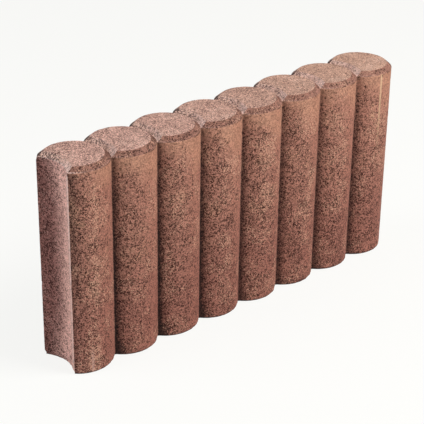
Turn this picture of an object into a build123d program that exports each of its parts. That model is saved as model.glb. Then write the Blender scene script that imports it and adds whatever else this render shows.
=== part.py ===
from build123d import *
import os

# Concrete palisade edging unit: a row of round columns pressed as one block.
# The unit stands upright. The columns run along X, the front looks along -Y and Z is up.
# Its left end has a hollow groove and its right end is a whole round column, so that the
# round end of one unit sits in the groove of the next. Lengths are in millimetres.

# Columns: eight on a 62.5 mm pitch make the 500 mm that one unit covers when it is laid
column_count = 8
pitch = 62.5
column_radius = 40.0
height = 250.0

# Pressed bevel round the top of every column
bevel_width = 6.5
bevel_drop = 5.5
shoulder_height = height - bevel_drop

# End groove, wider than a column by the joint that is left between two units
joint_gap = 3.0
groove_radius = column_radius + joint_gap

# Worn arrises of the groove, rounded bottoms of the valleys between the columns, worn foot
arris_radius = 2.0
valley_radius = 3.0
foot_radius = 1.5


def column_place(index):
    """Axis of a column on the floor; column -1 is the last one of the unit before."""
    return Pos(index * pitch, 0, 0)


def turned_body(radius, top_radius):
    """Round body on Z, straight up to the shoulder and from there sloped to its top radius."""
    profile = Polyline(
        (0, 0),
        (radius, 0),
        (radius, shoulder_height),
        (top_radius, height),
        (0, height),
        close=True,
    )
    return revolve(Plane.XZ * make_face(profile), Axis.Z)


def nested_column(index):
    """One bevelled column, hollowed on its left by the column before and that one's bevel."""
    hollow_radius = groove_radius if index == 0 else column_radius
    column = column_place(index) * turned_body(column_radius, column_radius - bevel_width)
    hollow = column_place(index - 1) * turned_body(hollow_radius, hollow_radius + bevel_width)
    return column - hollow


def softened(unit):
    """The unit with its groove's arrises, its valleys and its foot rounded."""
    groove_arrises = unit.edges().filter_by(Axis.Z).group_by(Axis.X)[0]
    unit = fillet(groove_arrises, arris_radius)
    valleys = unit.edges().filter_by(Axis.Z).filter_by(lambda edge: edge.center().X > 0)
    unit = fillet(valleys, valley_radius)
    foot = unit.edges().group_by(Axis.Z)[0]
    return fillet(foot, foot_radius)


def palisade_unit():
    """The whole unit as one solid, its origin in the middle of its bottom."""
    columns = [nested_column(index) for index in range(column_count)]
    unit = softened(Part() + columns)
    return Pos(-unit.bounding_box().center().X, 0, 0) * unit


os.makedirs("parts", exist_ok=True)
export_step(palisade_unit(), "parts/palisade_block.step")
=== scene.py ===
import logging
import math
from dataclasses import dataclass, field
from enum import Enum
from functools import partial
from typing import Any, Callable, Optional, Sequence, Union

import bmesh
import bpy
from mathutils import Matrix, Vector, noise


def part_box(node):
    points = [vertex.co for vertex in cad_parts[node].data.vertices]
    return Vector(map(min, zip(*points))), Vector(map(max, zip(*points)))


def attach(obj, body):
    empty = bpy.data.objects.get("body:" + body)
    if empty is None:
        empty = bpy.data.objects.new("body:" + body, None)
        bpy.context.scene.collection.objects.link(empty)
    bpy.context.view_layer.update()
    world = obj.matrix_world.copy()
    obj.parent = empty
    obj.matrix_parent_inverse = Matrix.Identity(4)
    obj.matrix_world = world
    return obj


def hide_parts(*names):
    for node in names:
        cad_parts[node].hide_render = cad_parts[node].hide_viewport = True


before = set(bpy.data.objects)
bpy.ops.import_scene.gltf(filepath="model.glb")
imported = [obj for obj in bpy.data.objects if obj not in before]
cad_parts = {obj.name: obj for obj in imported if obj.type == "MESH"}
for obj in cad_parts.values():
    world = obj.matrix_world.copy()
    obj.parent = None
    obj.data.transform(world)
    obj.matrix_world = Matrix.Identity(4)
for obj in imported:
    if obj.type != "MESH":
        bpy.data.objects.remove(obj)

log = logging.getLogger("palisade")

BLOCK_NODE = "palisade_block"
ROOT_BODY = "root"
MM = 0.001

# Numbers that the block stores on its mesh for the finishes
STORED = ("side", "arris_gap", "pit")

# The Mix node has sockets of the same names for numbers and for colours, so they go by number
MIX_SHARE, MIX_FIRST, MIX_SECOND, MIX_RESULT = 0, 6, 7, 2

Socket = bpy.types.NodeSocket
Value = Union[float, "Signal"]
Feeds = dict[Union[int, str], Any]
Triple = tuple[float, float, float]
Span = tuple[float, float]


def linear(colour: Triple) -> tuple[float, float, float, float]:
    """Linear RGBA of a colour given in screen values.

    Args:
        colour: Red, green and blue on a screen, 0 to 255.

    Returns:
        The colour as the shaders take it, with an alpha of 1.
    """
    shares = [part / 255 for part in colour]
    bent = [s / 12.92 if s <= 0.04045 else ((s + 0.055) / 1.055) ** 2.4 for s in shares]
    return (*bent, 1.0)


def smooth(low: float, high: float, value: float) -> float:
    """Share of the way, 0 to 1, that a value has gone from low to high, eased at both ends."""
    share = min(1.0, max(0.0, (value - low) / (high - low)))
    return share * share * (3 - 2 * share)


def around(axis_x: float, radius: float, turn: float, height: float) -> Vector:
    """Point about an upright axis at an X; a turn is in degrees, 0 in front and 90 at the right."""
    angle = math.radians(turn)
    return Vector((axis_x + radius * math.sin(angle), -radius * math.cos(angle), height))


class Zone(Enum):
    """The kinds of surface on the block, each with its own finish."""

    WALL = 0
    BEVEL = 1
    JOINT = 2
    CROWN = 3
    GROOVE = 4
    FOOT = 5


class Signal:
    """A number or a colour inside a shader; arithmetic on it lays the nodes that work it out."""

    def __init__(self, wiring: "Wiring", socket: Socket) -> None:
        """Takes the wiring that it belongs to and the socket that gives it."""
        self.wiring = wiring
        self.socket = socket

    def __add__(self, other: Value) -> "Signal":
        """The sum of two numbers."""
        return self.wiring.math("ADD", self, other)

    def __sub__(self, other: Value) -> "Signal":
        """The difference of two numbers."""
        return self.wiring.math("SUBTRACT", self, other)

    def __rsub__(self, other: float) -> "Signal":
        """A plain number less this one."""
        return self.wiring.math("SUBTRACT", other, self)

    def __mul__(self, other: Value) -> "Signal":
        """The product of two numbers."""
        return self.wiring.math("MULTIPLY", self, other)

    def __abs__(self) -> "Signal":
        """The number without its sign."""
        return self.wiring.math("ABSOLUTE", self)

    def most(self, other: Value) -> "Signal":
        """The larger of two numbers."""
        return self.wiring.math("MAXIMUM", self, other)

    def ease(self, low: Value, high: Value, first: Value = 0.0, last: Value = 1.0) -> "Signal":
        """Smooth step from the first number to the last one, as this one goes from low to high."""
        feeds = {"Value": self, "From Min": low, "From Max": high, "To Min": first, "To Max": last}
        return self.wiring.out("Result", "ShaderNodeMapRange", feeds, interpolation_type="SMOOTHSTEP")

    def covered(self, paint: Triple, share: Value) -> "Signal":
        """The colour with a share of a paint, given in screen values, laid over it."""
        return self.wiring.mix(share, self, linear(paint))

    def dimmed(self, left: Triple, share: Value) -> "Signal":
        """The colour with its red, green and blue each cut to what is left of it, by a share."""
        return self.wiring.mix(share, self, (*left, 1.0), blend="MULTIPLY")


class Wiring:
    """Lays shader nodes in a tree and joins them, so that a finish reads as a formula."""

    def __init__(self, tree: bpy.types.NodeTree) -> None:
        """Starts with the node tree of a material, a world or a node group as it is."""
        self.tree = tree

    def add(self, kind: str, feeds: Optional[Feeds] = None, **settings: Any) -> bpy.types.Node:
        """Adds a node.

        Args:
            kind: The node's type name.
            feeds: What its inputs take, by their names or numbers.
            settings: Properties of the node, by name.

        Returns:
            The new node.
        """
        node = self.tree.nodes.new(kind)
        for name, value in settings.items():
            setattr(node, name, value)
        for key, value in (feeds or {}).items():
            self.feed(node.inputs[key], value)
        return node

    def out(
        self, output: Union[int, str], kind: str, feeds: Optional[Feeds] = None, **settings: Any
    ) -> Signal:
        """Adds a node and gives one of its outputs, by its name or number."""
        return Signal(self, self.add(kind, feeds, **settings).outputs[output])

    def feed(self, socket: Socket, value: Any) -> None:
        """Links an input to an output, or sets its constant.

        Args:
            socket: The input that takes the value.
            value: A signal, an output socket, or a plain number, colour or vector.
        """
        if isinstance(value, Signal):
            value = value.socket
        if isinstance(value, bpy.types.NodeSocket):
            self.tree.links.new(value, socket)
        else:
            socket.default_value = value

    def math(self, operation: str, first: Value, second: Value = 0.0, clamp: bool = False) -> Signal:
        """One step of arithmetic by a Math node, with the result kept from 0 to 1 if it is clamped."""
        feeds = {0: first, 1: second}
        return self.out(0, "ShaderNodeMath", feeds, operation=operation, use_clamp=clamp)

    def mix(self, share: Value, first: Any, second: Any, blend: str = "MIX") -> Signal:
        """Two colours in one.

        Args:
            share: How much of the second colour shows.
            first: The first colour.
            second: The second colour.
            blend: The way in which the second colour is laid on.

        Returns:
            The mixed colour.
        """
        feeds = {MIX_SHARE: share, MIX_FIRST: first, MIX_SECOND: second}
        settings = {"data_type": "RGBA", "blend_type": blend, "clamp_factor": True}
        return self.out(MIX_RESULT, "ShaderNodeMix", feeds, **settings)

    def noise(self, place: Any, scale: Any, detail: float = 2.0, roughness: float = 0.5) -> Signal:
        """Soft noise, about 0.5 on average, of which so many patches go into one unit of the place."""
        feeds = {"Vector": place, "Scale": scale, "Detail": detail, "Roughness": roughness}
        return self.out("Fac", "ShaderNodeTexNoise", feeds)


class Effects:
    """Shader effects that several finishes share, each a node group that is built once."""

    # Inputs of an effect that lies everywhere, and of one that lies more or less densely
    EVEN = {"Place": "NodeSocketVector", "Scale": "NodeSocketFloat"}
    SCATTERED = {**EVEN, "Cover": "NodeSocketFloat"}

    # Rise of the noise over which a speck's edge fades in, and the edge of a crowd of grains
    SPECK_FADE = 0.03
    CROWD_FADE = 0.05

    # Coarse grains: how far their outlines are bent, how many bends and crowds go into one grain,
    # and how far from a gap's middle its dark core and its edge lie, in grains
    BEND = 1.1
    BEND_SCALE = 1.1
    CROWD_SCALE = 0.7
    GAP_CORE = 0.07
    GAP_EDGE = 0.15

    def __init__(self) -> None:
        """Builds every group."""
        self.specks = self.speck_field()
        self.gaps = self.grain_gaps()
        self.grain = self.sand_grain()

    @staticmethod
    def new_group(name: str, inputs: dict[str, str], outputs: Sequence[str]) -> tuple:
        """An empty node group with its sockets.

        Args:
            name: The group's name.
            inputs: The socket type of each input, by name.
            outputs: The names of its outputs, which are numbers.

        Returns:
            The group's wiring, the sockets that bring its inputs in, and those that take its outputs.
        """
        tree = bpy.data.node_groups.new(name, "ShaderNodeTree")
        for label, kind in inputs.items():
            tree.interface.new_socket(name=label, in_out="INPUT", socket_type=kind)
        for label in outputs:
            tree.interface.new_socket(name=label, in_out="OUTPUT", socket_type="NodeSocketFloat")
        wiring = Wiring(tree)
        return wiring, wiring.add("NodeGroupInput").outputs, wiring.add("NodeGroupOutput").inputs

    @staticmethod
    def limit(wiring: Wiring, cover: Socket) -> Signal:
        """Noise level from which a field shows: 0.8 with no cover, and 0.4 with a cover of 1."""
        return Signal(wiring, cover) * -0.4 + 0.8

    def speck_field(self) -> bpy.types.NodeTree:
        """Small ragged specks, dark where they are pores and light where they are sand.

        Returns:
            The group, with the inputs Place, Scale and Cover and the output Mask.
        """
        wiring, taken, given = self.new_group("speck field", self.SCATTERED, ["Mask"])
        ragged = wiring.noise(taken["Place"], taken["Scale"], detail=1.6, roughness=0.55)
        limit = self.limit(wiring, taken["Cover"])
        wiring.feed(given["Mask"], ragged.ease(limit, limit + self.SPECK_FADE))
        return wiring.tree

    def grain_gaps(self) -> bpy.types.NodeTree:
        """Dark worm-like gaps that stay open between coarse sand grains, where these lie crowded.

        Returns:
            The group, with the inputs Place, Scale and Cover and the outputs Mask and Tone, which
            is a number from 0 to 1 for each grain.
        """
        wiring, taken, given = self.new_group("grain gaps", self.SCATTERED, ["Mask", "Tone"])
        feeds = {0: taken["Place"], "Scale": taken["Scale"]}
        grid = wiring.out(0, "ShaderNodeVectorMath", feeds, operation="SCALE")
        feeds = {"Vector": grid, "Scale": self.BEND_SCALE, "Detail": 1.0}
        bend = wiring.out("Color", "ShaderNodeTexNoise", feeds)
        feeds = {0: bend, 1: (self.BEND, self.BEND, self.BEND), 2: grid}
        bent = wiring.out(0, "ShaderNodeVectorMath", feeds, operation="MULTIPLY_ADD")
        cells = {"Vector": bent, "Scale": 1.0}
        edges = wiring.out("Distance", "ShaderNodeTexVoronoi", cells, feature="DISTANCE_TO_EDGE")
        grains = wiring.out("Color", "ShaderNodeTexVoronoi", cells, feature="F1")
        limit = self.limit(wiring, taken["Cover"])
        crowd = wiring.noise(grid, self.CROWD_SCALE, detail=1.0)
        opened = crowd.ease(limit, limit + self.CROWD_FADE)
        wiring.feed(given["Mask"], opened * edges.ease(self.GAP_CORE, self.GAP_EDGE, 1.0, 0.0))
        wiring.feed(given["Tone"], wiring.out(1, "ShaderNodeSeparateColor", {0: grains}))
        return wiring.tree

    def sand_grain(self) -> bpy.types.NodeTree:
        """Fine sand in the face of the concrete.

        Returns:
            The group, with the inputs Place and Scale and the output Grain, 0.5 on average.
        """
        wiring, taken, given = self.new_group("sand grain", self.EVEN, ["Grain"])
        feeds = {"Vector": taken["Place"], "Scale": taken["Scale"], "Smoothness": 0.4}
        cells = wiring.out("Color", "ShaderNodeTexVoronoi", feeds, feature="SMOOTH_F1")
        wiring.feed(given["Grain"], wiring.out(1, "ShaderNodeSeparateColor", {0: cells}))
        return wiring.tree


class Ground:
    """The block's face as a finish reads it: where a point lies, and patterns laid over it."""

    def __init__(self, wiring: Wiring) -> None:
        """Lays the nodes that give the object's coordinates and what is stored on its mesh.

        Args:
            wiring: The material's wiring.
        """
        self.wiring = wiring
        self.place = wiring.out("Object", "ShaderNodeTexCoord")
        split = wiring.add("ShaderNodeSeparateXYZ", {0: self.place})
        self.x, self.y, self.z = (Signal(wiring, split.outputs[axis]) for axis in "XYZ")
        self.side, self.arris_gap, self.pit = (
            wiring.out("Fac", "ShaderNodeAttribute", attribute_name=name) for name in STORED
        )

    def noise(self, size: float, detail: float = 2.0, roughness: float = 0.5) -> Signal:
        """Soft noise, about 0.5 on average, with patches of a size in metres."""
        return self.wiring.noise(self.place, 1 / size, detail, roughness)

    def effect(
        self, tree: bpy.types.NodeTree, size: float, step: float = 0.0, **more: Value
    ) -> dict[str, Signal]:
        """Lays a shared effect over the face.

        Args:
            tree: The effect's node group.
            size: The size of its grains, in metres.
            step: How far it is moved along all three axes, to show another part of itself.
            more: Its other inputs, by name.

        Returns:
            The effect's outputs, by name.
        """
        moving = {0: self.place, 1: (step, step, step)}
        place = self.wiring.out(0, "ShaderNodeVectorMath", moving, operation="ADD")
        feeds = {"Place": place, "Scale": 1 / size, **more}
        node = self.wiring.add("ShaderNodeGroup", feeds, node_tree=tree)
        return {socket.name: Signal(self.wiring, socket) for socket in node.outputs}


@dataclass(frozen=True)
class ConcreteFinish:
    """One look of the dyed concrete, with colours in screen values and sizes in metres.

    Args:
        name: The material's name.
        body: The cement's colour.
        pale: The colour of its lighter patches.
        pore: The colour down in the pores; the walls and the bevels also paint shade and shadow with it.
        sand: The colour of the lightest sand grains.
        patchy: How much of the face is in lighter patches, 0 to 1.
        pore_cover: How densely the pores lie, 0 to 1.
        gap_cover: How densely the gaps between the grains lie, 0 to 1.
        sand_cover: How densely the light grains lie, 0 to 1.
        grain_size: The size of the sand grains.
        grain_contrast: How much the sand grains differ in colour.
        sand_share: How much of their colour the light grains show.
        pore_share: How much of their colour the pores show.
        relief: Depth of the fine relief.
    """

    name: str
    body: Triple
    pale: Triple
    pore: Triple = (44, 16, 12)
    sand: Triple = (224, 178, 150)
    patchy: float = 0.3
    pore_cover: float = 0.48
    gap_cover: float = 0.66
    sand_cover: float = 0.42
    grain_size: float = 0.64 * MM
    grain_contrast: float = 0.38
    sand_share: float = 0.6
    pore_share: float = 0.92
    relief: float = 0.16 * MM

    def crowding(self, ground: Ground) -> Value:
        """What is added to the density of the pores from place to place; none here."""
        return 0.0

    def sandiness(self, ground: Ground) -> Signal:
        """What is added to the density of the light grains, which lie in blotches."""
        return ground.noise(27 * MM).ease(0.42, 0.62, -0.15, 0.2)

    def tint(self, ground: Ground, colour: Signal) -> Signal:
        """The cement with the colours that lie over it, under the pores; none here."""
        return colour

    def marks_and_painted_light(self, ground: Ground, colour: Signal) -> Signal:
        """The concrete with the marks, painted light and painted shade that lie over its pores too; none
        here.
        """
        return colour

    def cement(self, ground: Ground) -> Signal:
        """The cement with its lighter patches.

        Args:
            ground: The face that it is laid on.

        Returns:
            The colour.
        """
        drift = ground.noise(38 * MM, detail=3.0, roughness=0.6)
        patch = ground.noise(9 * MM, detail=3.0, roughness=0.65)
        start = 0.62 - 0.25 * self.patchy
        share = (drift * 0.6 + patch * 0.4).ease(start, start + 0.14, 0.0, 0.85)
        return ground.wiring.mix(share, linear(self.body), linear(self.pale))

    def specks(self, ground: Ground, effects: Effects) -> tuple[Signal, Signal, Signal]:
        """The grains and the holes in the face.

        Args:
            ground: The face that they lie on.
            effects: The shared shader groups.

        Returns:
            The sand's tone from 0 to 1, the light grains' mask and the holes' mask.
        """
        size = self.grain_size
        crowd = ground.noise(11 * MM, roughness=0.6).ease(0.3, 0.7, -0.08, 0.08)
        crowd = crowd + self.crowding(ground)
        dense = crowd + self.pore_cover
        sandy = self.sandiness(ground) + self.sand_cover
        pores = ground.effect(effects.specks, 2.0 * size, Cover=dense + 0.02)["Mask"]
        wide_pores = ground.effect(effects.specks, 3.4 * size, step=0.19, Cover=dense - 0.12)["Mask"]
        sand = ground.effect(effects.specks, 2.4 * size, step=0.37, Cover=sandy)["Mask"]
        gaps = ground.effect(effects.gaps, 2.8 * size, Cover=crowd + self.gap_cover)
        tone = ground.effect(effects.grain, size)["Grain"] * 0.5 + gaps["Tone"] * 0.5
        holes = pores.most(wide_pores).most(gaps["Mask"] * 0.95)
        return tone, sand, holes.most(ground.pit.ease(0.15, 0.6, 0.0, 0.9))

    def build(self, effects: Effects) -> bpy.types.Material:
        """Makes the material.

        Args:
            effects: The shared shader groups.

        Returns:
            The new material.
        """
        material = bpy.data.materials.new(self.name)
        material.use_nodes = True
        wiring = Wiring(material.node_tree)
        ground = Ground(wiring)
        tone, sand, holes = self.specks(ground, effects)
        shade = tone.ease(0.1, 0.9, 1 - self.grain_contrast, 1 + self.grain_contrast)
        colour = wiring.mix(1.0, self.tint(ground, self.cement(ground)), shade, blend="MULTIPLY")
        colour = colour.covered(self.sand, sand * self.sand_share)
        colour = colour.covered(self.pore, holes * self.pore_share)
        bump = {"Strength": 1.0, "Distance": self.relief, "Height": tone * 0.6 - holes}
        feeds = {
            "Base Color": self.marks_and_painted_light(ground, colour),
            "Roughness": holes.ease(0.0, 1.0, 0.82, 0.97),
            "Specular IOR Level": 0.3,
            "Normal": wiring.out("Normal", "ShaderNodeBump", bump),
        }
        for name, value in feeds.items():
            wiring.feed(material.node_tree.nodes["Principled BSDF"].inputs[name], value)
        return material


@dataclass(frozen=True)
class LimeStreak:
    """A pale run of lime down the front of a column, with sizes in metres.

    Args:
        x: X of its middle.
        gone: Height at which it has faded away.
        full: Height at which it is strongest.
        share: How much of it shows there.
        colour: Its colour in screen values.
    """

    x: float
    gone: float
    full: float
    share: float
    colour: Triple

    def over(self, ground: Ground, colour: Signal) -> Signal:
        """Lays the streak over a colour.

        Args:
            ground: The face that it runs down.
            colour: The colour under it.

        Returns:
            The colour with the streak on it.
        """
        trace = abs(ground.x - self.x).ease(0.7 * MM, 2.1 * MM, 1.0, 0.0)
        fade = ground.z.ease(self.gone, self.full, 0.0, self.share)
        front = ground.y.ease(-10 * MM, 0.0, 1.0, 0.0)
        return colour.covered(self.colour, trace * fade * front)


@dataclass(frozen=True)
class WallFinish(ConcreteFinish):
    """The columns' upright faces: smooth and warmer in colour under the bevel, with painted shade on their
    left flanks.

    Args:
        fresh: The cement's colour in the smooth band under the bevel.
        low: The cement's colour low on the columns.
        painted_right_shade: Painted shade on the right of a column: what is left of the light there, for
            red, green and blue.
        painted_flank_shade: Painted shade on a left flank: what is left of the light there, for red, green
            and blue.
        painted_deep_shade: The colour of the painted shade down in the valleys and of the painted shadow
            round the bottom edge.
        fresh_from: Height at which the smooth band has gone, in metres.
        fresh_to: Height from which the face is smooth, in metres.
        shoulder: Height of the bevel's lower edge, in metres.
        streaks: The lime streaks on the round end and at the foot of the first column.
        sandy_x: X of the middle of the sandy strip on the first column, in metres.
        first_end: X where the first column ends, in metres.
        darkest_shade_x: X up to which the painted shade on the columns is darkest, in metres.
        lightest_shade_x: X from which it is lightest, in metres.
        wide_shade_top: Height up to which the painted shade in the valleys is wider, in metres.
    """

    fresh: Triple = (183, 135, 112)
    low: Triple = (155, 101, 88)
    painted_right_shade: Triple = (0.82, 0.76, 0.74)
    painted_flank_shade: Triple = (0.21, 0.155, 0.155)
    painted_deep_shade: Triple = (24, 15, 14)
    fresh_from: float = 203 * MM
    fresh_to: float = 236 * MM
    shoulder: float = 244.5 * MM
    streaks: tuple[LimeStreak, ...] = (
        LimeStreak(x=211 * MM, gone=125 * MM, full=244.5 * MM, share=0.85, colour=(216, 178, 144)),
        LimeStreak(x=-234 * MM, gone=36 * MM, full=14 * MM, share=0.5, colour=(206, 166, 154)),
    )
    sandy_x: float = -231 * MM
    first_end: float = -195 * MM
    darkest_shade_x: float = -120 * MM
    lightest_shade_x: float = 60 * MM
    wide_shade_top: float = 26 * MM

    def beyond_first(self, ground: Ground, first: float = 0.0, last: float = 1.0) -> Signal:
        """A number that is the first one on the first column and the last one beyond it."""
        return ground.x.ease(self.first_end, self.first_end + 3 * MM, first, last)

    def middle(self, ground: Ground) -> Signal:
        """Share of a strip up the middle of each column, a little to the right of its axis."""
        return abs(ground.side - 0.05).ease(0.12, 0.5, 1.0, 0.0)

    def freshness(self, ground: Ground) -> Signal:
        """Share of the smooth band's look.

        Args:
            ground: The wall.

        Returns:
            A number from 0, low on the column, to 1, under the bevel.
        """
        waver = (ground.noise(24 * MM) - 0.5) * (50 * MM)
        right = ground.side.ease(-0.6, 0.6, -14 * MM, 12 * MM)
        height = ground.z + waver + right + self.beyond_first(ground, -18 * MM, 0.0)
        return height.ease(self.fresh_from, self.fresh_to)

    def crowding(self, ground: Ground) -> Value:
        """Fewer pores under the bevel and on the right, and more on the left and in the middle.

        Args:
            ground: The wall.

        Returns:
            What is added to the density.
        """
        band = self.freshness(ground) * -0.3
        left = ground.side.ease(-0.75, 0.6, 0.08, -0.10)
        high = ground.x.ease(20 * MM, 160 * MM) * ground.z.ease(120 * MM, 230 * MM, 0.0, -0.07)
        more = ground.x.ease(-130 * MM, -30 * MM, 0.02, 0.07)
        middle = self.middle(ground) * ground.z.ease(160 * MM, 200 * MM, more, 0.0)
        return band + left + high + middle

    def sandiness(self, ground: Ground) -> Signal:
        """Blotches of light grains below the smooth band, and sandy strips down the columns.

        Args:
            ground: The wall.

        Returns:
            What is added to the density of the light grains.
        """
        blotches = super().sandiness(ground) - self.freshness(ground) * 0.3
        strip = abs(ground.x - self.sandy_x).ease(4 * MM, 10 * MM, 0.25, 0.0)
        columns = ground.x.ease(-95 * MM, -60 * MM) * ground.x.ease(130 * MM, 190 * MM, 1.0, 0.0)
        middle = self.middle(ground) * 0.12 * columns * ground.z.ease(40 * MM, 90 * MM)
        return blotches + strip + middle

    def tint(self, ground: Ground, colour: Signal) -> Signal:
        """Lays the darker foot and the smooth band's warmer colour over the cement, then paints shade on
        the right side.

        Args:
            ground: The wall.
            colour: The cement and its patches.

        Returns:
            The tinted colour.
        """
        colour = colour.covered(self.low, ground.z.ease(30 * MM, 190 * MM, 0.75, 0.0))
        colour = colour.covered(self.fresh, self.freshness(ground))
        # Painted shade on the right side of each column
        return colour.dimmed(self.painted_right_shade, ground.side.ease(-0.3, 0.4))

    def flank_shade_share(self, ground: Ground, onward: Signal) -> Signal:
        """Share of the painted shade on the left flanks and beside the end groove.

        Args:
            ground: The wall.
            onward: Share of the way to the columns on the right, whose painted shade is lighter.

        Returns:
            The share.
        """
        thick_low = onward.ease(0.0, 1.0, 0.97, 0.85)
        thick_high = onward.ease(0.0, 1.0, 0.72, 0.55)
        thick = ground.z.ease(110 * MM, 225 * MM, thick_low, thick_high)
        beside = ground.arris_gap.ease(3 * MM, 18 * MM, 0.45, 0.0) * ground.z.ease(40 * MM, 150 * MM)
        return (ground.side.ease(-0.80, -0.57, 1.0, 0.0) * thick).most(beside)

    def valley_shade_share(self, ground: Ground, onward: Signal) -> Signal:
        """Share of the painted shade down in the valleys, which widens raggedly at the foot.

        Args:
            ground: The wall.
            onward: Share of the way to the columns on the right, whose valleys are paler.

        Returns:
            The share.
        """
        at_foot = self.beyond_first(ground) * ground.z.ease(2 * MM, self.wide_shade_top, 1.0, 0.0)
        draw = ground.noise(2.4 * MM, detail=1.0).ease(0.3, 0.7, -1.0, 1.0)
        ragged = draw * at_foot.ease(0.0, 1.0, 0.035, 0.13)
        depth = ground.side + ragged + at_foot.ease(0.0, 1.0, -0.02, -0.2)
        faded_low = onward.ease(0.0, 1.0, 0.18, 0.6)
        faded_high = onward.ease(0.0, 1.0, 0.45, 0.78)
        faded = ground.z.ease(110 * MM, 240 * MM, faded_low, faded_high)
        return depth.ease(-0.77, -0.73, 0.83, 0.0) * (1.0 - faded)

    def ledge_shadow_share(self, ground: Ground) -> Signal:
        """Share of the painted shadow line, broken in places, right under the bevel.

        Args:
            ground: The wall.

        Returns:
            The share.
        """
        line = (self.shoulder - ground.z).ease(1.0 * MM, 2.2 * MM, 1.0, 0.0)
        worn = ground.noise(16 * MM, detail=3.0).ease(0.42, 0.56)
        return line * worn * ground.side.ease(0.05, 0.4, 0.0, 0.75)

    def marks_and_painted_light(self, ground: Ground, colour: Signal) -> Signal:
        """Lays the painted shade on the flanks and in the valleys, the painted shadow under the bevel and
        round the bottom edge, and the lime over all.

        Args:
            ground: The wall.
            colour: The concrete with its pores.

        Returns:
            The stained colour.
        """
        onward = ground.x.ease(self.darkest_shade_x, self.lightest_shade_x)
        # Painted shadow along the bottom edge, heavier on the left
        rim = ground.z.ease(0.8 * MM, 2.4 * MM, 1.0, 0.0) * ground.side.ease(-0.3, 0.4, 0.8, 0.2)
        # Painted shade on the left flanks and in the valleys, then the painted shadow line under the bevel
        colour = colour.dimmed(self.painted_flank_shade, self.flank_shade_share(ground, onward))
        colour = colour.covered(self.painted_deep_shade, self.valley_shade_share(ground, onward))
        colour = colour.covered(self.pore, self.ledge_shadow_share(ground)).covered(self.painted_deep_shade, rim)
        for streak in self.streaks:
            colour = streak.over(ground, colour)
        return colour


@dataclass(frozen=True)
class BevelFinish(ConcreteFinish):
    """The bevels: dark and open-pored along the front, and like the crowns round the back.

    Args:
        back: The cement's colour away from the front.
        front_y: Y up to which the bevel is dark, in metres.
        back_y: Y from which it has the crown's colour, in metres.
        shade: What is left of the light at the right front, for red, green and blue.
        lip_highlight: The colour of the painted highlight on the bevel's lower edge.
        lip_top: Height up to which the lower edge carries the painted highlight, in metres.
        first_end: X up to which the painted highlight on the lower edge is strongest, in metres.
        round_end: X from which the bevel belongs to the round end, in metres.
    """

    back: Triple = (196, 160, 146)
    front_y: float = -13 * MM
    back_y: float = 13 * MM
    shade: Triple = (0.66, 0.61, 0.6)
    lip_highlight: Triple = (216, 178, 166)
    lip_top: float = 245.6 * MM
    first_end: float = -200 * MM
    round_end: float = 235 * MM

    def behind(self, ground: Ground, first: float = 0.0, last: float = 1.0) -> Signal:
        """A number that is the first one along the front and the last one round the back."""
        return ground.y.ease(self.front_y, self.back_y, first, last)

    def crowding(self, ground: Ground) -> Value:
        """Fewer pores away from the front and towards the round end."""
        return self.behind(ground, 0.0, -0.14) + ground.x.ease(-60 * MM, 160 * MM, 0.0, -0.11)

    def tint(self, ground: Ground, colour: Signal) -> Signal:
        """Lays the crown's colour at the back, a painted highlight on the lower edge and the shade at the
        right.

        Args:
            ground: The bevel.
            colour: The cement and its patches.

        Returns:
            The tinted colour.
        """
        colour = colour.covered(self.back, self.behind(ground))
        # Painted highlight along the bevel's lower edge, and at its left end by the valley
        edge = ground.z.ease(self.lip_top - 0.5 * MM, self.lip_top, 1.0, 0.0)
        edge = edge * ground.side.ease(-0.6, -0.2, 0.9, 0.1)
        edge = edge.most(ground.side.ease(-0.72, -0.62, 0.8, 0.0))
        first = ground.x.ease(self.first_end, self.first_end + 3 * MM, 1.0, 0.25)
        right = ground.side.ease(0.62, 0.74) * self.behind(ground, 1.0, 0.0)
        return colour.covered(self.lip_highlight, edge * first).dimmed(self.shade, right)

    def marks_and_painted_light(self, ground: Ground, colour: Signal) -> Signal:
        """Lays painted shade beside the valley at the left back, and on the round end's far edge.

        Args:
            ground: The bevel.
            colour: The concrete with its pores.

        Returns:
            The stained colour.
        """
        # Painted shade: the left back of each bevel by the valley, and the round end's far edge
        ragged = ground.noise(3 * MM, detail=1.0).ease(0.3, 0.7, -0.1, 0.1)
        left = (ground.side + ragged).ease(-0.58, -0.36, 0.95, 0.0) * ground.y.ease(14 * MM, 22 * MM)
        far = ground.x.ease(self.round_end, self.round_end + 8 * MM)
        far = far * ground.z.ease(246 * MM, 248 * MM, 0.6, 0.0) * ground.y.ease(-24 * MM, -14 * MM)
        return colour.covered(self.pore, left.most(far))


@dataclass(frozen=True)
class CrownFinish(ConcreteFinish):
    """The flat tops: greyish pink at the grooved end, tanner towards the round end.

    Args:
        tan: What the tan leaves of the light, for red, green and blue.
        tan_full: X from which it is full, in metres.
    """

    tan: Triple = (0.82, 0.82, 0.74)
    tan_full: float = 200 * MM

    def crowding(self, ground: Ground) -> Value:
        """Fewer pores towards the round end."""
        return ground.x.ease(0.0, 220 * MM, 0.0, -0.12)

    def tint(self, ground: Ground, colour: Signal) -> Signal:
        """Lays the tan over the cement."""
        return colour.dimmed(self.tan, ground.x.ease(-self.tan_full, self.tan_full))


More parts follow.
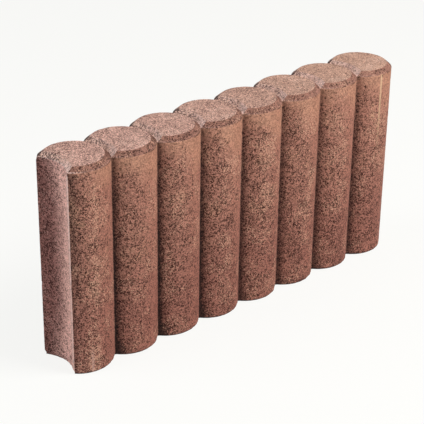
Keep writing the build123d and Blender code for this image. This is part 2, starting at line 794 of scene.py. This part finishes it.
@dataclass(frozen=True)
class JointFinish(ConcreteFinish):
    """The slopes of the joints: pale with lime and painted light at the front valley, dark and pored at
    the back.

    Args:
        lime: The colour of the lime and painted light at the front valley.
        back: The colour at the back valley.
        rim_x: X up to which the slope rises from the end groove, whose rim carries lime and painted light,
            in metres.
    """

    lime: Triple = (240, 202, 190)
    back: Triple = (214, 178, 164)
    rim_x: float = -200 * MM

    def crowding(self, ground: Ground) -> Value:
        """More pores towards the back valley, and fewer towards the round end."""
        behind = ground.y.ease(-14 * MM, 16 * MM, -0.10, 0.12)
        return behind + ground.x.ease(60 * MM, 180 * MM, 0.0, -0.12)

    def tint(self, ground: Ground, colour: Signal) -> Signal:
        """Lays the lime with its painted light, and the darker back, over the cement.

        Args:
            ground: The slope.
            colour: The cement and its patches.

        Returns:
            The tinted colour.
        """
        colour = colour.covered(self.back, ground.y.ease(0.0, 14 * MM, 0.0, 0.8))
        rim = ground.z.ease(245.2 * MM, 246 * MM, 0.75, 0.0)
        rim = rim * ground.x.ease(self.rim_x, self.rim_x + 5 * MM, 1.0, 0.0)
        front = ground.y.ease(-17 * MM, -3 * MM, 0.9, 0.0) * ground.z.ease(247 * MM, 249.4 * MM, 1.0, 0.3)
        front = front * ground.noise(3 * MM).ease(0.35, 0.6, 0.35, 1.0)
        # Lime with painted light from the left back, at the front valley and on the groove's rim
        return colour.covered(self.lime, rim.most(front))


@dataclass(frozen=True)
class GrooveFinish(ConcreteFinish):
    """The hollow end: dark and purplish at the back, pale with lime and painted light towards the front
    arris.

    Args:
        lime: The colour of the lime.
        lime_full: Distance from the front arris up to which the lime is full, in metres.
        lime_none: Distance from the front arris at which it has gone, in metres.
        lime_more: How much further the lime reaches at the top and the foot, in metres.
        arris: The colour of the worn arris itself.
    """

    # lime: The colour of the lime and of the painted light from the left back.         lime_full: Distance from the front arris up to which the lime and painted light are full, in metres.
    lime: Triple = (226, 176, 163)
    lime_full: float = 14 * MM
    lime_none: float = 45 * MM
    # lime_more: How much further they reach at the top and the foot, in metres.
    lime_more: float = 10 * MM
    # arris: The colour of the painted highlight on the front arris.
    arris: Triple = (238, 206, 196)

    def crowding(self, ground: Ground) -> Value:
        """Fewer pores in the lime."""
        return ground.arris_gap.ease(self.lime_full, self.lime_none, -0.1, 0.08)

    def tint(self, ground: Ground, colour: Signal) -> Signal:
        """Lays the lime and painted light over the cement, most at the front and round the top and the
        foot.

        Args:
            ground: The groove's wall.
            colour: The cement and its patches.

        Returns:
            The tinted colour.
        """
        gap = ground.arris_gap + (ground.noise(12 * MM, detail=3.0) - 0.5) * (12 * MM)
        foot = ground.z.ease(10 * MM, 70 * MM, self.lime_more, 0.0)
        top = ground.z.ease(185 * MM, 245 * MM, 0.0, self.lime_more)
        # Lime with painted light from the left back, paler towards the front arris
        return colour.covered(self.lime, (gap - foot - top).ease(self.lime_full, self.lime_none, 0.9, 0.0))

    def marks_and_painted_light(self, ground: Ground, colour: Signal) -> Signal:
        """Draws a painted highlight along the front arris."""
        # Painted highlight along the front arris
        line = ground.arris_gap.ease(1.0 * MM, 2.2 * MM, 0.85, 0.0) * ground.z.ease(60 * MM, 235 * MM, 0.5)
        return colour.covered(self.arris, line * ground.noise(3 * MM).ease(0.35, 0.55, 0.5))


def finishes() -> dict[Zone, ConcreteFinish]:
    """The finish of every zone of the block.

    Returns:
        A finish for each zone.
    """
    return {
        Zone.WALL: WallFinish(
            "column wall concrete",
            body=(173, 121, 104),
            pale=(190, 142, 118),
            patchy=0.35,
            pore_cover=0.5,
            gap_cover=0.69,
        ),
        Zone.BEVEL: BevelFinish(
            "bevel concrete",
            body=(148, 105, 91),
            pale=(164, 121, 104),
            patchy=0.2,
            pore_cover=0.53,
        ),
        Zone.JOINT: JointFinish(
            "joint slope concrete",
            body=(200, 162, 149),
            pale=(212, 176, 164),
            pore=(70, 46, 46),
            pore_cover=0.5,
        ),
        Zone.CROWN: CrownFinish(
            "crown concrete",
            body=(206, 163, 149),
            pale=(214, 172, 157),
            pore=(66, 34, 32),
            sand=(236, 202, 186),
            pore_cover=0.52,
            gap_cover=0.64,
            grain_size=0.47 * MM,
            grain_contrast=0.5,
        ),
        Zone.GROOVE: GrooveFinish(
            "end groove concrete",
            body=(136, 90, 83),
            pale=(150, 104, 95),
            sand=(186, 146, 136),
            patchy=0.2,
        ),
        Zone.FOOT: ConcreteFinish("foot concrete", body=(160, 112, 97), pale=(178, 136, 116)),
    }


@dataclass(frozen=True)
class PressedFace:
    """What the press, the sand and wear leave in the smooth form, in metres.

    Args:
        unevenness: Depth and size of its layers: long waves, lumps and sand.
        torn: Depth of the torn edge round the foot.
        torn_size: Size of its bites.
        torn_more: What is added to their noise, so that they take up more than half of the edge.
        torn_height: Height up to which the foot is torn and its tips are chipped.
        chip_foot: Depth of the chips off the groove's tips at the foot.
        chip_top: Depth of the chips off them at the shoulder.
        chip_drop: How far down from the shoulder these reach.
        chip_reach: How far from a tip the chips reach.
        pit_spacing: Distance between the pits.
        pit_depth: Depth of the widest pits.
        pit_width: Radius of the widest pits, as a share of their spacing.
        pit_slope: How far a pit's slope goes on beyond its radius, as the same share.
        pit_least: The least width, as a share of the widest, at which a pit is made.
        pit_shallow: Depth of the narrowest pits, as a share of the deepest.
        pit_ragged: Size of the wobbles in a pit's outline.
        pit_wobble: How strong the wobbles are, as a share of its radius.
        draw_from: The draw above which a place has a pit, up to 1.
        draw_step: What a pit's middle is multiplied by for its draw.
    """

    unevenness: tuple[tuple[float, float], ...] = (
        (0.10 * MM, 32 * MM),
        (0.10 * MM, 7 * MM),
        (0.13 * MM, 2.9 * MM),
    )
    torn: float = 0.9 * MM
    torn_size: float = 4 * MM
    torn_more: float = 0.2
    torn_height: float = 6 * MM
    chip_foot: float = 2.2 * MM
    chip_top: float = 1.3 * MM
    chip_drop: float = 5 * MM
    chip_reach: float = 9 * MM
    pit_spacing: float = 8 * MM
    pit_depth: float = 1.1 * MM
    pit_width: float = 0.3
    pit_slope: float = 0.08
    pit_least: float = 0.1
    pit_shallow: float = 0.35
    pit_ragged: float = 2.5 * MM
    pit_wobble: float = 0.5
    draw_from: float = 0.3
    draw_step: float = 31.7

    def pit_at(self, place: Vector) -> float:
        """How deep in a pit a point lies; the pits are spread by cell, and each has its own width.

        Args:
            place: The point.

        Returns:
            0 on the face, up to 1 at the bottom of the widest pits.
        """
        gaps, centres = noise.voronoi(place / self.pit_spacing)
        draw = noise.cell(centres[0] * self.draw_step)
        width = max(0.0, draw - self.draw_from) / (1 - self.draw_from)
        if width <= self.pit_least:
            return 0.0
        ragged = gaps[0] * (1 + self.pit_wobble * noise.noise(place / self.pit_ragged))
        inside = smooth(0.0, 1.0, 1.0 - ragged / (self.pit_width * width + self.pit_slope))
        return inside * (self.pit_shallow + (1 - self.pit_shallow) * width)

    def depth_at(self, place: Vector, above_floor: float, above_shoulder: float, tip_gap: float) -> float:
        """Depth of the rough face under the smooth form, without the pits.

        Args:
            place: The point.
            above_floor: Its height above the floor.
            above_shoulder: Its height above the bevel's lower edge, negative under it.
            tip_gap: Its distance from the nearer tip of the end groove, seen from above.

        Returns:
            The depth, never negative.
        """
        uneven = sum(depth * (1 + noise.noise(place / size)) for depth, size in self.unevenness)
        at_foot = 1 - smooth(0.0, self.torn_height, above_floor)
        bite = max(0.0, noise.noise(place / self.torn_size) + self.torn_more)
        at_top = smooth(-self.chip_drop, 0.0, above_shoulder)
        at_tip = 1 - smooth(0.0, self.chip_reach, tip_gap)
        chipped = (self.chip_foot * at_foot + self.chip_top * at_top) * at_tip
        return uneven + self.torn * at_foot * bite + chipped


@dataclass
class PalisadeBlock:
    """The whole pressed block as one closed mesh, in metres.

    Args:
        low: The lowest corner of its box.
        high: The highest corner of its box.
        count: How many columns it has.
        pitch: Distance between two columns' axes.
        bevel_width: How far the bevel goes in.
        bevel_drop: How far the bevel goes down.
        joint_gap: How much wider the end groove is than a column, on the radius.
        arris_radius: Rounding of the groove's arrises.
        valley_radius: Rounding of the valleys between the columns.
        foot_radius: Rounding of the bottom edge.
        run_out: Height over which the upright roundings fade under the bevel.
        cell: Size of the mesh's cells.
        slope_rows: Cells up the bevel.
        arris_steps: Cells round an arris of the groove.
        foot_rows: Heights of the lowest rows of the walls, as shares of the foot's rounding.
        skin: How far inside the box the faces are laid.
        weld: Distance under which the points of two sheets are made one.
        slack: Distance under which a point counts as on an edge.
        face: The pressed face.
        mesh: The mesh that is being made.
    """

    low: Vector
    high: Vector
    count: int = 8
    pitch: float = 62.5 * MM
    bevel_width: float = 6.5 * MM
    bevel_drop: float = 5.5 * MM
    joint_gap: float = 3 * MM
    arris_radius: float = 2 * MM
    valley_radius: float = 1 * MM
    foot_radius: float = 1.5 * MM
    run_out: float = 4 * MM
    cell: float = 2 * MM
    slope_rows: int = 5
    arris_steps: int = 4
    foot_rows: Triple = (0.0, 0.3, 1.0)
    skin: float = 0.02 * MM
    weld: float = 0.06 * MM
    slack: float = 0.05 * MM
    face: PressedFace = PressedFace()
    mesh: bmesh.types.BMesh = field(default_factory=bmesh.new)

    def __post_init__(self) -> None:
        """Works out the radii, heights and angles that the surfaces share."""
        self.layers = [self.mesh.verts.layers.float.new(name) for name in STORED]
        self.radius = self.high.y - self.skin
        self.top = self.high.z - self.skin
        self.shoulder = self.top - self.bevel_drop
        self.last_axis = self.high.x - self.high.y
        self.groove_radius = self.high.y + self.joint_gap
        self.valley_turn = math.degrees(math.asin(self.pitch / 2 / self.radius))
        self.valley_depth = math.sqrt(self.radius**2 - (self.pitch / 2) ** 2)
        self.front_steps = self.steps_for(2 * self.valley_turn)
        self.side_steps = self.steps_for(180 - 2 * self.valley_turn)
        self.wall_rows = round((self.shoulder - self.low.z) / self.cell)
        self.tip_before, self.tip_own = self.mitre(0, 0.0)
        self.tip = around(self.axis(0), self.radius, self.tip_own, 0.0)
        self.arris_x, self.arris_forward = self.arris_centre()
        self.arris_own = self.arris_turn(0)
        self.arris_before = self.arris_turn(-1)

    def steps_for(self, turn: float) -> int:
        """How many cells go along an arc of a column, of an angle in degrees."""
        return max(2, round(math.radians(turn) * self.radius / self.cell))

    def axis(self, index: int) -> float:
        """X of a column's axis; index -1 is the column of the unit before."""
        return self.last_axis - (self.count - 1 - index) * self.pitch

    def hollow_radius(self, index: int) -> float:
        """Radius of the hollow in a column's left side, about the axis before it."""
        return self.groove_radius if index == 0 else self.radius

    def sheet(self, zone: Zone, across: int, rows: int, place: Callable[[float, float], Vector]) -> None:
        """Lays a grid of cells over a surface.

        Args:
            zone: The surface's kind.
            across: Cells in the first direction.
            rows: Cells in the second direction.
            place: Gives the point for two shares from 0 to 1.
        """
        made = bmesh.ops.create_grid(self.mesh, x_segments=across, y_segments=rows, size=0.5)["verts"]
        for vert in made:
            vert.co = place(vert.co.x + 0.5, vert.co.y + 0.5)
        for face in {face for vert in made for face in vert.link_faces}:
            face.material_index = zone.value
            face.smooth = True

    def strip(
        self,
        zone: Zone,
        across: int,
        rows: int,
        span: Callable[[float], Span],
        point: Callable[[float, float], Vector],
    ) -> None:
        """Lays a grid of cells over a surface whose rows are arcs.

        Args:
            zone: The surface's kind.
            across: Cells along a row.
            rows: Cells up the surface.
            span: Gives the angles at a row's two ends for its share of the way up.
            point: Gives the point for an angle and the same share.
        """

        def place(u: float, v: float) -> Vector:
            """Point at a share of the way along a row."""
            first, last = span(v)
            return point(first + u * (last - first), v)

        self.sheet(zone, across, rows, place)

    def row_height(self, share: float) -> float:
        """Height of a row of the walls, with the lowest rows inside the foot's rounding.

        Args:
            share: The row's place from the bottom, 0, to the shoulder, 1.

        Returns:
            Z of the row.
        """
        row = round(share * self.wall_rows)
        last = len(self.foot_rows) - 1
        if row <= last:
            return self.low.z + self.foot_radius * self.foot_rows[row]
        start = self.low.z + self.foot_radius
        return start + (row - last) / (self.wall_rows - last) * (self.shoulder - start)

    def foot_inset(self, height: float) -> float:
        """How far the foot's rounding sets a point in from the wall, at a height."""
        up = min(1.0, max(0.0, (height - self.low.z) / self.foot_radius))
        return self.foot_radius * (1 - math.sqrt(1 - (1 - up) ** 2))

    def fading(self, height: float) -> float:
        """Share of the upright roundings that is left at a height, 0 at the shoulder."""
        return smooth(0.0, self.run_out, self.shoulder - height)

    def mitre(self, index: int, up: float) -> Span:
        """Where a column's bevel meets the slope of the joint on its left.

        Args:
            index: The column.
            up: Share of the way up the bevel.

        Returns:
            The angle about the axis before it, and the angle about its own axis, in degrees.
        """
        own = self.radius - up * self.bevel_width
        other = self.hollow_radius(index) + up * self.bevel_width
        at_before = math.acos((other**2 + self.pitch**2 - own**2) / (2 * other * self.pitch))
        at_own = math.acos((own**2 + self.pitch**2 - other**2) / (2 * own * self.pitch))
        return 90 - math.degrees(at_before), -(90 - math.degrees(at_own))

    def arris_centre(self) -> Span:
        """Centre of the front arris's rounding, as its X and how far it lies in front of the middle.

        Returns:
            The two lengths.
        """
        from_groove = self.groove_radius + self.arris_radius
        from_column = self.radius - self.arris_radius
        along = (from_groove**2 - from_column**2 + self.pitch**2) / (2 * self.pitch)
        return self.axis(-1) + along, math.sqrt(from_groove**2 - along**2)

    def arris_turn(self, index: int) -> float:
        """Angle about a column's axis, in degrees, at which the front arris's centre lies."""
        return math.degrees(math.atan2(self.arris_x - self.axis(index), self.arris_forward))

    def groove_edge(self, sharp: float, rounded: float, v: float) -> float:
        """Angle of the groove's edge in a row of the walls, rounded below and sharp at the shoulder."""
        return sharp + self.fading(self.row_height(v)) * (rounded - sharp)

    def wall_point(self, index: int, turn: float, height: float) -> Vector:
        """Point on a column's wall, with the valleys beside it rounded.

        Args:
            index: The column.
            turn: Angle about its axis, in degrees, 0 to the front.
            height: Z of the point.

        Returns:
            The point, set in at the foot.
        """
        inset = self.foot_inset(height)
        plain = around(self.axis(index), self.radius - inset, turn, height)
        in_front = abs(turn) < 90
        far = self.radius + self.valley_radius
        valley_start = math.degrees(math.asin(self.pitch / 2 / far))
        inner = abs(turn if in_front else turn - 180) - valley_start
        hand = 1.0 if math.sin(math.radians(turn)) > 0 else -1.0
        at_end = index == (self.count - 1 if hand > 0 else 0)
        if inner <= 0 or at_end:
            return plain
        share = inner / (self.valley_turn - valley_start)
        lean = math.radians(valley_start) * (1 - share)
        reach = self.valley_radius + inset
        x = self.axis(index) + hand * (self.pitch / 2 - reach * math.sin(lean))
        out = math.sqrt(far * far - (self.pitch / 2) ** 2) - reach * math.cos(lean)
        rounded = Vector((x, -out if in_front else out, height))
        return plain.lerp(rounded, self.fading(height))

    def walls(self, index: int) -> None:
        """Lays a column's wall, front and back, and the round end on the last column.

        Args:
            index: The column.
        """
        turn = self.valley_turn

        def point(angle: float, v: float) -> Vector:
            """Point on the wall."""
            return self.wall_point(index, angle, self.row_height(v))

        def front(v: float) -> Span:
            """Angles from the left valley, or from the end groove's arris, to the right valley."""
            first = -turn if index > 0 else self.groove_edge(self.tip_own, self.arris_own, v)
            return first, turn

        def back(v: float) -> Span:
            """The same angles at the back."""
            first, last = front(v)
            return 180 - first, 180 - last

        self.strip(Zone.WALL, self.front_steps, self.wall_rows, front, point)
        self.strip(Zone.WALL, self.front_steps, self.wall_rows, back, point)
        if index == self.count - 1:
            self.strip(Zone.WALL, self.side_steps, self.wall_rows, lambda v: (turn, 180 - turn), point)

    def arris_point(self, hand: float, u: float, v: float) -> Vector:
        """Point on a rounded arris of the end groove.

        Args:
            hand: 1 for the front arris and -1 for the back one.
            u: Share of the way round it, from the column to the groove.
            v: Share of the way up it.

        Returns:
            The point.
        """
        height = self.row_height(v)
        inset = self.foot_inset(height)
        turn = self.arris_own + u * (self.arris_before - 180 - self.arris_own)
        rounded = around(self.arris_x, self.arris_radius - inset, turn, height)
        rounded.y -= self.arris_forward
        sharp = Vector((self.tip.x + inset, self.tip.y, height))
        point = sharp.lerp(rounded, self.fading(height))
        point.y *= hand
        return point

    def end_groove(self) -> None:
        """Lays the end groove's wall and its two rounded arrises."""

        def span(v: float) -> Span:
            """Angles from the front arris to the back one."""
            start = self.groove_edge(self.tip_before, self.arris_before, v)
            return start, 180 - start

        def point(angle: float, v: float) -> Vector:
            """Point on the groove's wall."""
            height = self.row_height(v)
            return around(self.axis(-1), self.groove_radius + self.foot_inset(height), angle, height)

        self.strip(Zone.GROOVE, self.side_steps, self.wall_rows, span, point)
        for hand in (1.0, -1.0):
            self.sheet(Zone.GROOVE, self.arris_steps, self.wall_rows, partial(self.arris_point, hand))

    def slopes(self, index: int) -> None:
        """Lays a column's bevel, and the slope on its left that rises from the joint or the groove.

        Args:
            index: The column.
        """
        turn = self.valley_turn

        def on_bevel(angle: float, v: float) -> Vector:
            """Point on the bevel."""
            reach = self.radius - v * self.bevel_width
            return around(self.axis(index), reach, angle, self.shoulder + v * self.bevel_drop)

        def on_joint(angle: float, v: float) -> Vector:
            """Point on the joint's slope."""
            reach = self.hollow_radius(index) + v * self.bevel_width
            return around(self.axis(index - 1), reach, angle, self.shoulder + v * self.bevel_drop)

        def joint(v: float) -> Span:
            """Angles from the slope's front mitre to its back one."""
            start = self.mitre(index, v)[0]
            return start, 180 - start

        def front(v: float) -> Span:
            """Angles from the mitre at the left front to the valley at the right front."""
            return self.mitre(index, v)[1], turn

        def back(v: float) -> Span:
            """Angles from the valley at the right back to the mitre at the left back."""
            return 180 - turn, 180 - self.mitre(index, v)[1]

        for zone, across, span, point in (
            (Zone.BEVEL, self.front_steps, front, on_bevel),
            (Zone.BEVEL, self.side_steps, lambda v: (turn, 180 - turn), on_bevel),
            (Zone.BEVEL, self.front_steps, back, on_bevel),
            (Zone.JOINT, self.side_steps, joint, on_joint),
        ):
            self.strip(zone, across, self.slope_rows, span, point)

    def top_arc(self, axis: float, radius: float, span: Span, share: float) -> Vector:
        """Point at a share of the way along an arc on the flat top, about an axis at an X."""
        return around(axis, radius, span[0] + share * (span[1] - span[0]), self.top)

    def crown(self, index: int) -> None:
        """Lays a column's flat top, a patch between its four edges.

        Args:
            index: The column.
        """
        turn = self.valley_turn
        at_before, at_own = self.mitre(index, 1.0)
        own = partial(self.top_arc, self.axis(index), self.radius - self.bevel_width)
        before = partial(self.top_arc, self.axis(index - 1), self.hollow_radius(index) + self.bevel_width)
        left = partial(before, (at_before, 180 - at_before))
        right = partial(own, (turn, 180 - turn))
        front = partial(own, (at_own, turn))
        back = partial(own, (180 - at_own, 180 - turn))

        def across(u: float, v: float) -> Vector:
            """Point between the left arc and the right one."""
            return (1 - u) * left(v) + u * right(v)

        def patch(u: float, v: float) -> Vector:
            """Point that lies between the four arcs in step with all of them."""
            corners = (1 - v) * across(u, 0) + v * across(u, 1)
            return across(u, v) + (1 - v) * front(u) + v * back(u) - corners

        self.sheet(Zone.CROWN, self.front_steps, self.side_steps, patch)

    def close_up(self) -> None:
        """Welds the sheets, closes the bottom and turns every face outwards."""
        bmesh.ops.remove_doubles(self.mesh, verts=self.mesh.verts, dist=self.weld)
        rim_top = self.low.z + 2 * self.slack
        rim = [e for e in self.mesh.edges if e.is_boundary and max(v.co.z for v in e.verts) < rim_top]
        made = bmesh.ops.triangle_fill(self.mesh, use_beauty=True, edges=rim)["geom"]
        for face in made:
            if isinstance(face, bmesh.types.BMFace):
                face.material_index = Zone.FOOT.value
        bmesh.ops.recalc_face_normals(self.mesh, faces=self.mesh.faces)

    def side_at(self, place: Vector) -> float:
        """Where a point lies on its column, from -1 at the left flank to 1 at the right one.

        Args:
            place: The point.

        Returns:
            The sine of its angle; points within a quarter of a cell of a valley count as the
            left flank of the column on its right.
        """
        inside = abs(place.y) < self.valley_depth - 2 * self.slack
        if place.z > self.shoulder + (-self.slack if inside else self.slack):
            return self.side_on_top(place)
        column = min(self.count - 1, max(0, round((place.x - self.axis(0)) / self.pitch)))
        aside = place.x - self.axis(column)
        at_end = column == (self.count - 1 if aside > 0 else 0)
        in_valley = abs(aside) > self.pitch / 2 - self.cell / 4
        return (-abs(aside) if in_valley and not at_end else aside) / self.radius

    def side_on_top(self, place: Vector) -> float:
        """Where a point above the shoulder lies on its column, which is whole up to its own circle.

        Args:
            place: The point.

        Returns:
            Its distance to the right of the column's axis, as a share of the radius.
        """
        for index in range(self.count):
            aside = place.x - self.axis(index)
            if math.hypot(aside, place.y) < self.radius + self.slack:
                return aside / self.radius
        return 1.0

    def roughen(self) -> None:
        """Presses the pits and the rough face into the form, and stores what the finishes read."""
        self.mesh.normal_update()
        for vert in self.mesh.verts:
            place = vert.co.copy()
            pit = self.face.pit_at(place)
            aside = place.x - self.tip.x
            stored = (self.side_at(place), math.hypot(aside, place.y - self.tip.y), pit)
            for layer, value in zip(self.layers, stored):
                vert[layer] = value
            inward = -vert.normal
            if place.z < self.low.z + self.foot_radius / 2:
                inward.z = max(0.0, inward.z) if place.z > self.low.z else 0.0
            tip_gap = math.hypot(aside, abs(place.y) + self.tip.y)
            depth = self.face.depth_at(place, place.z - self.low.z, place.z - self.shoulder, tip_gap)
            vert.co = place + inward * (depth + pit * self.face.pit_depth)
        log.info("pressed face: %d points roughened", len(self.mesh.verts))

    def build(self) -> bpy.types.Object:
        """Makes the block's mesh and its object.

        Returns:
            The object, not yet dressed.
        """
        self.end_groove()
        for index in range(self.count):
            self.walls(index)
            self.slopes(index)
            self.crown(index)
        self.close_up()
        self.roughen()
        data = bpy.data.meshes.new("pressed_block")
        self.mesh.to_mesh(data)
        open_edges = sum(1 for edge in self.mesh.edges if not edge.is_manifold)
        log.info("block mesh: %d faces, %d open edges", len(data.polygons), open_edges)
        self.mesh.free()
        block = bpy.data.objects.new("pressed_block", data)
        bpy.context.scene.collection.objects.link(block)
        return block


@dataclass(frozen=True)
class Lamp:
    """A soft square lamp that faces the block.

    Args:
        name: What it is called.
        turn: Its direction from the block, in degrees, 0 to the front and 90 to the right end.
        rise: Its angle above the floor, in degrees.
        level: How bright it makes a white face that looks at it.
        size: Its side, in metres.
        tint: Its colour.
        distance: How far it stands from the block, in metres.
    """

    name: str
    turn: float
    rise: float
    level: float
    size: float
    tint: Triple
    distance: float = 2.2

    def place(self, aim: Vector) -> bpy.types.Object:
        """Sets the lamp up.

        Args:
            aim: The point that it faces.

        Returns:
            The lamp's object.
        """
        data = bpy.data.lights.new(self.name, "AREA")
        data.shape = "SQUARE"
        data.size = self.size
        data.color = self.tint
        data.energy = self.level * math.pi**2 * self.distance**2
        lamp = bpy.data.objects.new(self.name, data)
        rise = math.radians(self.rise)
        towards = around(0.0, math.cos(rise), self.turn, math.sin(rise))
        lamp.location = aim + towards * self.distance
        lamp.rotation_mode = "QUATERNION"
        lamp.rotation_quaternion = towards.to_track_quat("Z", "Y")
        bpy.context.scene.collection.objects.link(lamp)
        return lamp


@dataclass(frozen=True)
class Studio:
    """The plain studio: a pale floor, soft lamps, a white surround and the camera.

    Args:
        lamps: The lamps.
        surround: How bright the surround makes a white face.
        surround_tint: The surround's colour as the block sees it.
        backdrop: The colour of the surround and the floor as the camera sees them.
        station: Where the camera stands, in metres.
        yaw: How far it is turned from +Y towards +X, in degrees.
        pitch: How far it looks down, in degrees.
        roll: How far it is tilted, in degrees.
        focal_pixels: Its focal length in pixels of the photograph.
        picture_width: The photograph's width in pixels.
        sensor_width: The camera's sensor width, in millimetres.
        sight: How far it sees, in metres.
        floor_size: The floor's side, in metres.
        floor_colour: The floor's colour where it shows a shadow.
        floor_shadow: How much of the block's shadow the floor shows, 0 to 1.
    """

    lamps: tuple[Lamp, ...]
    surround: float = 0.25
    surround_tint: Triple = (0.96, 0.98, 1.0)
    backdrop: Triple = (1.0, 1.0, 0.98)
    station: Triple = (-1.0117, -1.1053, 0.8538)
    yaw: float = 41.682
    pitch: float = 26.431
    roll: float = 0.848
    focal_pixels: float = 1405.3
    picture_width: float = 424.0
    sensor_width: float = 36.0
    sight: float = 100.0
    floor_size: float = 30.0
    floor_colour: Triple = (0.86, 0.86, 0.85)
    floor_shadow: float = 0.15

    def camera(self) -> bpy.types.Object:
        """Sets up the camera at the photograph's viewing angle.

        Returns:
            The camera's object.
        """
        data = bpy.data.cameras.new("camera")
        data.sensor_width = self.sensor_width
        data.lens = self.focal_pixels * self.sensor_width / self.picture_width
        data.clip_end = self.sight
        yaw, pitch, roll = (math.radians(angle) for angle in (self.yaw, self.pitch, self.roll))
        level = Vector((math.cos(yaw), -math.sin(yaw), 0.0))
        flat = math.cos(pitch)
        ahead = Vector((math.sin(yaw) * flat, math.cos(yaw) * flat, -math.sin(pitch)))
        upright = level.cross(ahead)
        right = level * math.cos(roll) + upright * math.sin(roll)
        up = upright * math.cos(roll) - level * math.sin(roll)
        turned = Matrix((right, up, -ahead)).transposed()
        camera = bpy.data.objects.new("camera", data)
        camera.matrix_world = Matrix.Translation(self.station) @ turned.to_4x4()
        bpy.context.scene.collection.objects.link(camera)
        bpy.context.scene.camera = camera
        return camera

    @staticmethod
    def seen_directly(wiring: Wiring) -> Signal:
        """Share of rays that see a backdrop as the camera does, straight or in a gloss or glass.

        Args:
            wiring: The wiring of the backdrop's shader.

        Returns:
            The share.
        """
        path = wiring.add("ShaderNodeLightPath").outputs
        seen = Signal(wiring, path["Is Camera Ray"]) + path["Is Glossy Ray"]
        return wiring.math("ADD", seen, path["Is Transmission Ray"], clamp=True)

    def sky(self) -> None:
        """Makes the surround, which looks white and lights the block from all sides."""
        world = bpy.data.worlds.new("surround")
        world.use_nodes = True
        bpy.context.scene.world = world
        wiring = Wiring(world.node_tree)
        sockets = world.node_tree.nodes["Background"].inputs
        seen = self.seen_directly(wiring)
        wiring.feed(sockets["Strength"], seen.ease(0.0, 1.0, self.surround, 1.0))
        wiring.feed(sockets["Color"], wiring.mix(seen, (*self.surround_tint, 1.0), (*self.backdrop, 1.0)))

    def floor(self, level: float) -> bpy.types.Object:
        """Lays the pale floor, which keeps a faint shadow of the block.

        Args:
            level: Z of the floor.

        Returns:
            The floor's object.
        """
        shape = bmesh.new()
        bmesh.ops.create_grid(shape, x_segments=1, y_segments=1, size=self.floor_size / 2)
        bmesh.ops.translate(shape, verts=shape.verts, vec=(0.0, 0.0, level))
        data = bpy.data.meshes.new("floor")
        shape.to_mesh(data)
        shape.free()
        data.materials.append(self.floor_material())
        floor = bpy.data.objects.new("floor", data)
        bpy.context.scene.collection.objects.link(floor)
        return floor

    def floor_material(self) -> bpy.types.Material:
        """Makes the floor's material, matt where it takes a shadow and glowing like the surround.

        Returns:
            The new material.
        """
        material = bpy.data.materials.new("pale floor")
        material.use_nodes = True
        wiring = Wiring(material.node_tree)
        matt = material.node_tree.nodes["Principled BSDF"]
        matt.inputs["Base Color"].default_value = (*self.floor_colour, 1.0)
        matt.inputs["Roughness"].default_value = 0.9
        matt.inputs["Specular IOR Level"].default_value = 0.0
        glow = wiring.add("ShaderNodeEmission", {"Color": (*self.backdrop, 1.0)})
        share = self.seen_directly(wiring) * (1 - self.floor_shadow)
        both = wiring.add("ShaderNodeMixShader", {0: share, 1: matt.outputs[0], 2: glow.outputs[0]})
        wiring.feed(material.node_tree.nodes["Material Output"].inputs["Surface"], both.outputs[0])
        return material

    def build(self, aim: Vector, floor_level: float) -> None:
        """Sets up the whole studio.

        Args:
            aim: The point that the lamps face.
            floor_level: Z of the floor.
        """
        self.camera()
        self.sky()
        self.floor(floor_level)
        for lamp in self.lamps:
            lamp.place(aim)
        log.info("studio: %d lamps and a floor", len(self.lamps))


def dress(block: bpy.types.Object, looks: dict[Zone, ConcreteFinish]) -> None:
    """Gives the block its materials, one for each zone.

    Args:
        block: The block's object, whose faces hold their zone's number.
        looks: The finish of each zone.
    """
    effects = Effects()
    for zone in Zone:
        block.data.materials.append(looks[zone].build(effects))
        log.info("finish: %s", looks[zone].name)


def main() -> None:
    """Builds the block and the studio."""
    logging.basicConfig(level=logging.INFO, format="%(name)s: %(message)s")
    bpy.context.scene.view_settings.view_transform = "Standard"
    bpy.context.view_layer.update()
    low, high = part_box(BLOCK_NODE)
    block = PalisadeBlock(low=low, high=high).build()
    dress(block, finishes())
    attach(block, ROOT_BODY)
    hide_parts(BLOCK_NODE)
    Studio(
        lamps=(
            Lamp("key lamp", turn=33, rise=48, level=0.95, size=1.1, tint=(1.0, 0.97, 0.93)),
            Lamp("window lamp", turn=-112, rise=30, level=0.4, size=1.4, tint=(0.9, 0.96, 1.0)),
        )
    ).build(aim=(low + high) / 2, floor_level=low.z)


if __name__ == "__main__":
    main()
